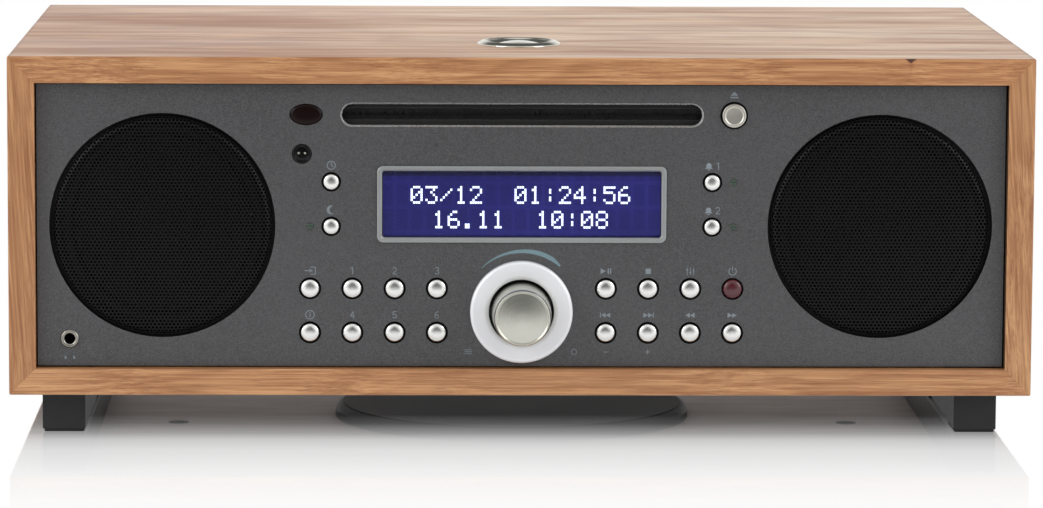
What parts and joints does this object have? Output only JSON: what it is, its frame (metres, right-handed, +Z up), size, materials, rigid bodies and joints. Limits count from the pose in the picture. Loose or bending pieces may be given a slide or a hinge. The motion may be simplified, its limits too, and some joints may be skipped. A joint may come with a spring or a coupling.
{
  "type": "mini hifi system",
  "caption": "Table-top hi-fi system in a wooden case: metal front panel with disc slot, display, volume knob and push buttons between two round speakers, and a bass driver underneath.",
  "frame": {"origin": "on the floor plane under the feet, at the centre of the whole outline in plan", "axes": "+Z up, front panel facing -Y, +X to the right seen from the front"},
  "size_m": [0.3588, 0.242, 0.1347],
  "materials": {
    "cherry_veneer": "satin lacquered cherry veneer",
    "batten_wood": "raw softwood",
    "panel_paint": "dark grey metallic paint, satin",
    "grille_paint": "black perforated steel",
    "steel": "zinc-plated",
    "black_plastic": "moulded black",
    "grey_plastic": "satin grey",
    "felt": "black pile",
    "dark_lens": "dark translucent lens",
    "display_glass": "blue display glass",
    "clear_window": "clear",
    "satin_nickel": "turned satin nickel finish",
    "silver_button": "turned silver",
    "red_button": "dark red",
    "chrome": "polished",
    "rubber": "soft",
    "paper": "black pressed paper",
    "circuit_board": "green board with parts"
  },
  "bodies": {
    "case": {"cabinet_top": "cherry_veneer", "cabinet_bottom": "cherry_veneer", "cabinet_left": "cherry_veneer", "cabinet_right": "cherry_veneer", "panel_battens": "batten_wood", "back_panel": "black_plastic", "foot_rails": "black_plastic", "foot_pads": "rubber", "case_screws": "steel", "front_panel": "panel_paint", "speaker_grilles": "grille_paint", "slot_felt": "felt", "panel_lenses": "dark_lens", "display_bezel": "grey_plastic", "display_window": "clear_window", "display_module": "display_glass", "headphone_jack": "chrome", "control_board": "circuit_board", "knob_ring": "satin_nickel", "encoder_body": "steel", "snooze_ring": "chrome", "driver_frames": "steel", "cone_surrounds": "rubber", "bass_frame": "steel", "bass_guard": "black_plastic", "disc_chassis": "steel", "main_board": "circuit_board", "power_transformer": "steel", "rear_sockets": "steel"},
    "encoder_rotor": {"encoder_rotor": "black_plastic"},
    "knob": {"volume_knob": "satin_nickel", "encoder_shaft": "steel"},
    "snooze_button": {"snooze_button": "chrome"},
    "left_cone": {"left_cone": "paper"},
    "right_cone": {"right_cone": "paper"},
    "bass_cone": {"bass_cone": "paper"},
    "disc_spindle": {"disc_spindle": "black_plastic"},
    "laser_sled": {"laser_sled": "black_plastic"},
    "loading_roller": {"loading_roller": "rubber"},
    "button_eject": {"button_eject": "silver_button"},
    "button_clock": {"button_clock": "silver_button"},
    "button_sleep": {"button_sleep": "silver_button"},
    "button_alarm_1": {"button_alarm_1": "silver_button"},
    "button_alarm_2": {"button_alarm_2": "silver_button"},
    "button_source": {"button_source": "silver_button"},
    "button_preset_1": {"button_preset_1": "silver_button"},
    "button_preset_2": {"button_preset_2": "silver_button"},
    "button_preset_3": {"button_preset_3": "silver_button"},
    "button_info": {"button_info": "silver_button"},
    "button_preset_4": {"button_preset_4": "silver_button"},
    "button_preset_5": {"button_preset_5": "silver_button"},
    "button_preset_6": {"button_preset_6": "silver_button"},
    "button_play": {"button_play": "silver_button"},
    "button_stop": {"button_stop": "silver_button"},
    "button_audio": {"button_audio": "silver_button"},
    "button_power": {"button_power": "red_button"},
    "button_previous": {"button_previous": "silver_button"},
    "button_next": {"button_next": "silver_button"},
    "button_rewind": {"button_rewind": "silver_button"},
    "button_forward": {"button_forward": "silver_button"}
  },
  "joints": [
    {"name": "volume_turn", "type": "hinge", "parent": "case", "child": "encoder_rotor", "pos_m": [0, -0.103, 0.0436], "axis": [0, 1, 0], "continuous": true},
    {"name": "volume_press", "type": "slide", "parent": "encoder_rotor", "child": "knob", "axis": [0, 1, 0], "range_m": [0, 0.0006], "stiffness_N_per_m": 200},
    {"name": "snooze_press", "type": "slide", "parent": "case", "child": "snooze_button", "axis": [0, 0, -1], "range_m": [0, 0.0006], "stiffness_N_per_m": 60},
    {"name": "left_cone_travel", "type": "slide", "parent": "case", "child": "left_cone", "axis": [0, 1, 0], "range_m": [-0.0015, 0.0015], "stiffness_N_per_m": 300},
    {"name": "right_cone_travel", "type": "slide", "parent": "case", "child": "right_cone", "axis": [0, 1, 0], "range_m": [-0.0015, 0.0015], "stiffness_N_per_m": 300},
    {"name": "bass_cone_travel", "type": "slide", "parent": "case", "child": "bass_cone", "axis": [0, 0, 1], "range_m": [-0.004, 0.004], "stiffness_N_per_m": 800},
    {"name": "disc_spin", "type": "hinge", "parent": "case", "child": "disc_spindle", "pos_m": [0, -0.018, 0.105], "axis": [0, 0, 1], "continuous": true},
    {"name": "laser_travel", "type": "slide", "parent": "case", "child": "laser_sled", "axis": [0, 1, 0], "range_m": [0, 0.035]},
    {"name": "roller_turn", "type": "hinge", "parent": "case", "child": "loading_roller", "pos_m": [0, -0.079, 0.1072], "axis": [1, 0, 0], "continuous": true},
    {"name": "eject_press", "type": "slide", "parent": "case", "child": "button_eject", "axis": [0, 1, 0], "range_m": [0, 0.0006], "stiffness_N_per_m": 30},
    {"name": "clock_press", "type": "slide", "parent": "case", "child": "button_clock", "axis": [0, 1, 0], "range_m": [0, 0.0006], "stiffness_N_per_m": 30},
    {"name": "sleep_press", "type": "slide", "parent": "case", "child": "button_sleep", "axis": [0, 1, 0], "range_m": [0, 0.0006], "stiffness_N_per_m": 30},
    {"name": "alarm_1_press", "type": "slide", "parent": "case", "child": "button_alarm_1", "axis": [0, 1, 0], "range_m": [0, 0.0006], "stiffness_N_per_m": 30},
    {"name": "alarm_2_press", "type": "slide", "parent": "case", "child": "button_alarm_2", "axis": [0, 1, 0], "range_m": [0, 0.0006], "stiffness_N_per_m": 30},
    {"name": "source_press", "type": "slide", "parent": "case", "child": "button_source", "axis": [0, 1, 0], "range_m": [0, 0.0006], "stiffness_N_per_m": 30},
    {"name": "preset_1_press", "type": "slide", "parent": "case", "child": "button_preset_1", "axis": [0, 1, 0], "range_m": [0, 0.0006], "stiffness_N_per_m": 30},
    {"name": "preset_2_press", "type": "slide", "parent": "case", "child": "button_preset_2", "axis": [0, 1, 0], "range_m": [0, 0.0006], "stiffness_N_per_m": 30},
    {"name": "preset_3_press", "type": "slide", "parent": "case", "child": "button_preset_3", "axis": [0, 1, 0], "range_m": [0, 0.0006], "stiffness_N_per_m": 30},
    {"name": "info_press", "type": "slide", "parent": "case", "child": "button_info", "axis": [0, 1, 0], "range_m": [0, 0.0006], "stiffness_N_per_m": 30},
    {"name": "preset_4_press", "type": "slide", "parent": "case", "child": "button_preset_4", "axis": [0, 1, 0], "range_m": [0, 0.0006], "stiffness_N_per_m": 30},
    {"name": "preset_5_press", "type": "slide", "parent": "case", "child": "button_preset_5", "axis": [0, 1, 0], "range_m": [0, 0.0006], "stiffness_N_per_m": 30},
    {"name": "preset_6_press", "type": "slide", "parent": "case", "child": "button_preset_6", "axis": [0, 1, 0], "range_m": [0, 0.0006], "stiffness_N_per_m": 30},
    {"name": "play_press", "type": "slide", "parent": "case", "child": "button_play", "axis": [0, 1, 0], "range_m": [0, 0.0006], "stiffness_N_per_m": 30},
    {"name": "stop_press", "type": "slide", "parent": "case", "child": "button_stop", "axis": [0, 1, 0], "range_m": [0, 0.0006], "stiffness_N_per_m": 30},
    {"name": "audio_press", "type": "slide", "parent": "case", "child": "button_audio", "axis": [0, 1, 0], "range_m": [0, 0.0006], "stiffness_N_per_m": 30},
    {"name": "power_press", "type": "slide", "parent": "case", "child": "button_power", "axis": [0, 1, 0], "range_m": [0, 0.0006], "stiffness_N_per_m": 30},
    {"name": "previous_press", "type": "slide", "parent": "case", "child": "button_previous", "axis": [0, 1, 0], "range_m": [0, 0.0006], "stiffness_N_per_m": 30},
    {"name": "next_press", "type": "slide", "parent": "case", "child": "button_next", "axis": [0, 1, 0], "range_m": [0, 0.0006], "stiffness_N_per_m": 30},
    {"name": "rewind_press", "type": "slide", "parent": "case", "child": "button_rewind", "axis": [0, 1, 0], "range_m": [0, 0.0006], "stiffness_N_per_m": 30},
    {"name": "forward_press", "type": "slide", "parent": "case", "child": "button_forward", "axis": [0, 1, 0], "range_m": [0, 0.0006], "stiffness_N_per_m": 30}
  ]
}
